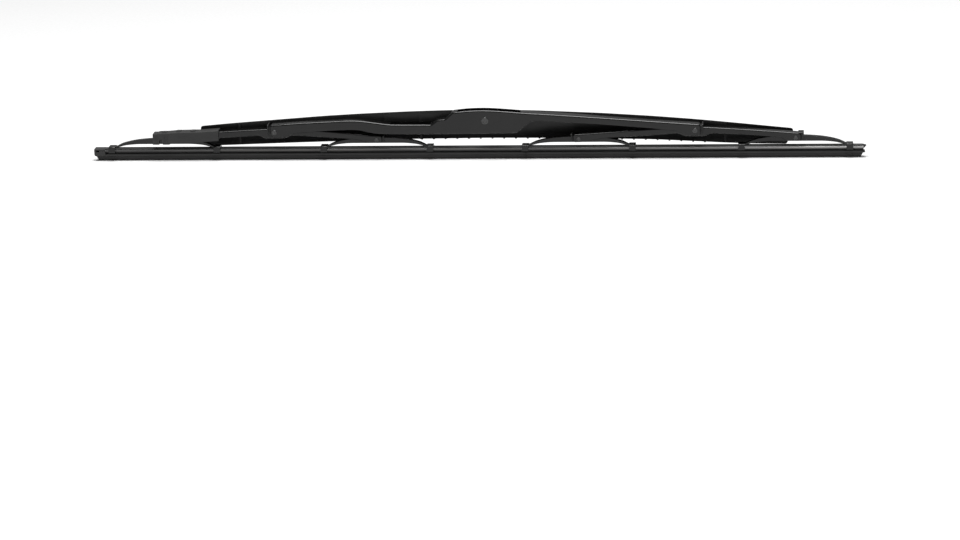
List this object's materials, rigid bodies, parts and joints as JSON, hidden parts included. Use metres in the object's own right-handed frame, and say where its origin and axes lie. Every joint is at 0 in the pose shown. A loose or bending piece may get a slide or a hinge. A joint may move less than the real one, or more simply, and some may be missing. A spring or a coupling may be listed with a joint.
{
  "type": "windshield wiper blade assembly",
  "caption": "Conventional car wiper blade: riveted bridge, yokes and claw bows carrying a rubber element on two spring rails, with a spoiler, an end cover and a hook adaptor.",
  "frame": {"origin": "centre of the arm pin, where the wiper arm's hook holds the blade", "axes": "+X along the blade towards its plain end, +Y towards the spoiler, +Z away from the glass"},
  "size_m": [0.701, 0.0243, 0.0456],
  "materials": {
    "black_lacquer": "satin black powder coat on 1 mm steel",
    "rivet_steel": "blackened steel",
    "rail_steel": "rolled stainless spring strip",
    "wiping_rubber": "graphited natural rubber",
    "cover_plastic": "fine grained",
    "spoiler_plastic": "fine grained",
    "bush_plastic": "smooth acetal",
    "adaptor_plastic": "smooth acetal"
  },
  "bodies": {
    "bridge": {"main_bridge": "black_lacquer", "arm_pin": "rivet_steel", "bridge_rivet_left": "rivet_steel", "bridge_rivet_right": "rivet_steel", "bridge_bush_left": "bush_plastic", "bridge_bush_right": "bush_plastic", "spoiler": "spoiler_plastic"},
    "adaptor": {"hook_adaptor": "adaptor_plastic"},
    "left_yoke": {"left_yoke": "black_lacquer", "bow_rivet_1": "rivet_steel", "bow_rivet_2": "rivet_steel", "bow_bush_1": "bush_plastic", "bow_bush_2": "bush_plastic", "end_cover": "cover_plastic"},
    "right_yoke": {"right_yoke": "black_lacquer", "bow_rivet_3": "rivet_steel", "bow_rivet_4": "rivet_steel", "bow_bush_3": "bush_plastic", "bow_bush_4": "bush_plastic"},
    "bow_1": {"claw_bow_1": "black_lacquer"},
    "bow_2": {"claw_bow_2": "black_lacquer"},
    "bow_3": {"claw_bow_3": "black_lacquer"},
    "bow_4": {"claw_bow_4": "black_lacquer"},
    "refill": {"rubber_element": "wiping_rubber", "rail_front": "rail_steel", "rail_rear": "rail_steel"}
  },
  "joints": [
    {"name": "left_yoke_pivot", "type": "hinge", "parent": "bridge", "child": "left_yoke", "pos_m": [-0.192, 0, -0.0098], "axis": [0, -1, 0], "range_deg": [-2, 4.5], "stiffness_Nm_per_rad": 1.8, "deforming": ["rubber_element", "rail_front", "rail_rear"]},
    {"name": "right_yoke_pivot", "type": "hinge", "parent": "bridge", "child": "right_yoke", "pos_m": [0.189, 0, -0.0098], "axis": [0, -1, 0], "range_deg": [-4.28, 1.93]},
    {"name": "bow_1_pivot", "type": "hinge", "parent": "left_yoke", "child": "bow_1", "pos_m": [-0.294, 0, -0.0176], "axis": [0, -1, 0], "range_deg": [-1.05, 2.3]},
    {"name": "bow_2_pivot", "type": "hinge", "parent": "left_yoke", "child": "bow_2", "pos_m": [-0.099, 0, -0.0176], "axis": [0, -1, 0], "range_deg": [-2.3, 1.05]},
    {"name": "bow_3_pivot", "type": "hinge", "parent": "right_yoke", "child": "bow_3", "pos_m": [0.0842, 0, -0.0176], "axis": [0, -1, 0], "range_deg": [-1.05, 2.3]},
    {"name": "bow_4_pivot", "type": "hinge", "parent": "right_yoke", "child": "bow_4", "pos_m": [0.2789, 0, -0.0176], "axis": [0, -1, 0], "range_deg": [-2.3, 1.05]},
    {"name": "refill_flex", "type": "hinge", "parent": "bow_2", "child": "refill", "pos_m": [-0.0074, 0, -0.0267], "axis": [0, -1, 0], "range_deg": [-4.28, 1.93], "deforming": ["rubber_element", "rail_front", "rail_rear"]},
    {"name": "adaptor_swing", "type": "hinge", "parent": "bridge", "child": "adaptor", "pos_m": [0, 0, 0], "axis": [0, -1, 0], "range_deg": [-20, 20]}
  ],
  "couplings": [
    {"joint": "right_yoke_pivot", "follows": "left_yoke_pivot", "ratio": -0.9396},
    {"joint": "bow_1_pivot", "follows": "left_yoke_pivot", "ratio": 0.5002},
    {"joint": "bow_2_pivot", "follows": "left_yoke_pivot", "ratio": -0.5002},
    {"joint": "bow_3_pivot", "follows": "left_yoke_pivot", "ratio": 0.4994},
    {"joint": "bow_4_pivot", "follows": "left_yoke_pivot", "ratio": -0.4994},
    {"joint": "refill_flex", "follows": "left_yoke_pivot", "ratio": -0.9399}
  ]
}
